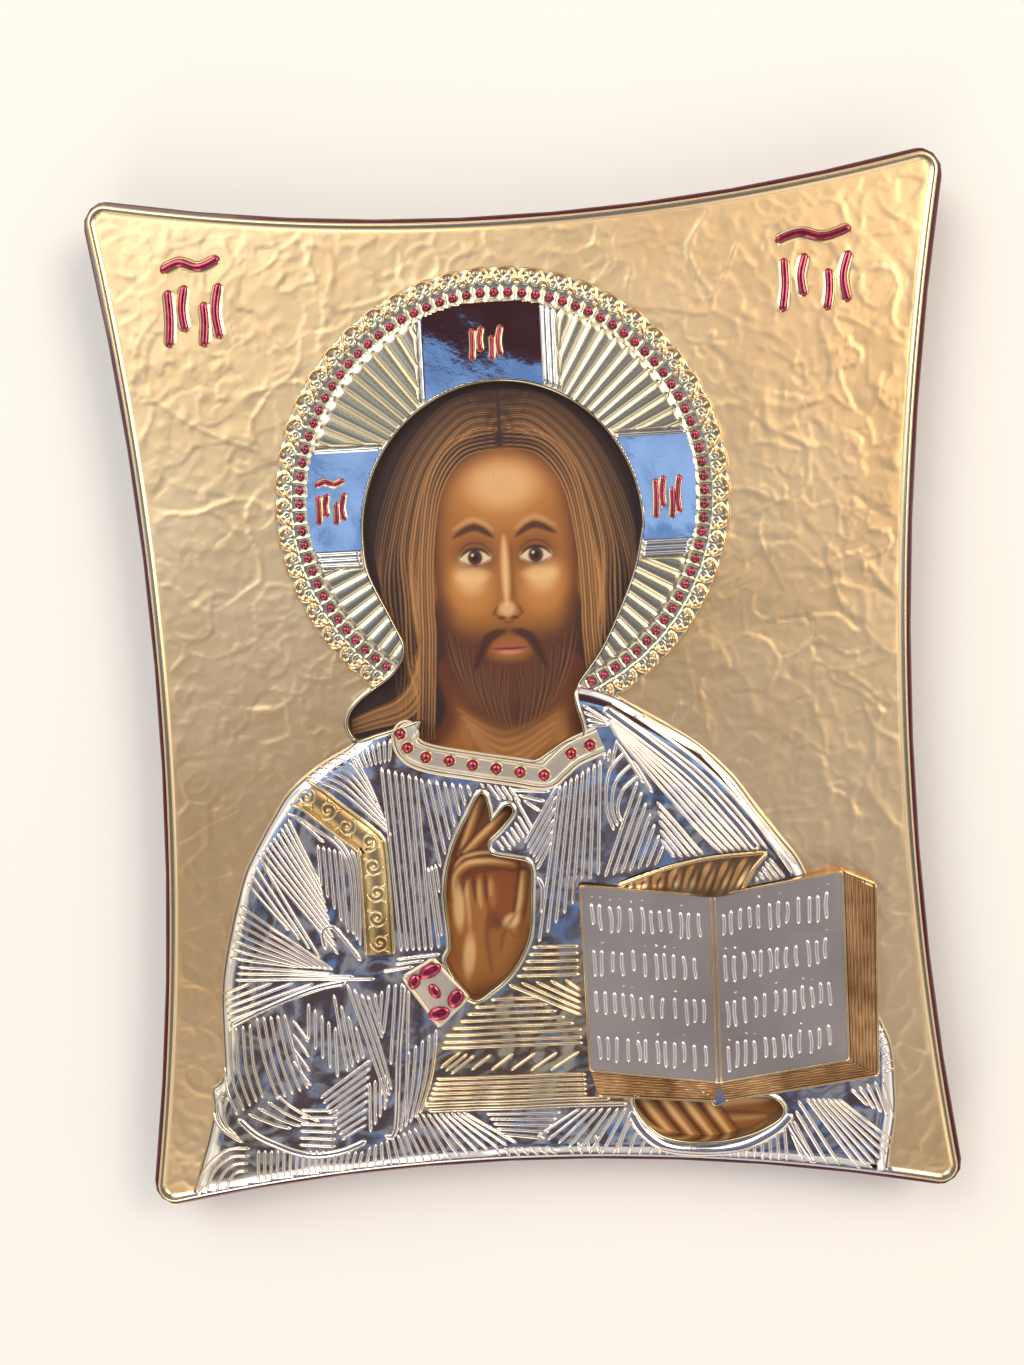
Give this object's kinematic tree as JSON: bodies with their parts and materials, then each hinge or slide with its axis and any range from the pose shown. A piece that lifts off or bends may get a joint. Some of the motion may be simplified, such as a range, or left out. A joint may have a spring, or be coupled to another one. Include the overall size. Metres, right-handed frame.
{
  "type": "icon panel",
  "caption": "Painted wooden icon panel with hollow sides under a pressed silver and gilt metal cover: haloed half figure with an open book, windows over the painting.",
  "frame": {"origin": "middle of the flat underside of the board, with the panel lying on its back", "axes": "+X to the picture's right as seen from the front, +Y up the picture, +Z out of the front"},
  "size_m": [0.1974, 0.2418, 0.0194],
  "materials": {
    "board": "dark red lacquer, high gloss; painted front under varnish",
    "cover": "pressed sheet, silver plated and partly gilt, with red enamel beads"
  },
  "bodies": {
    "root": {"board": "board", "cover": "cover"}
  },
  "joints": []
}
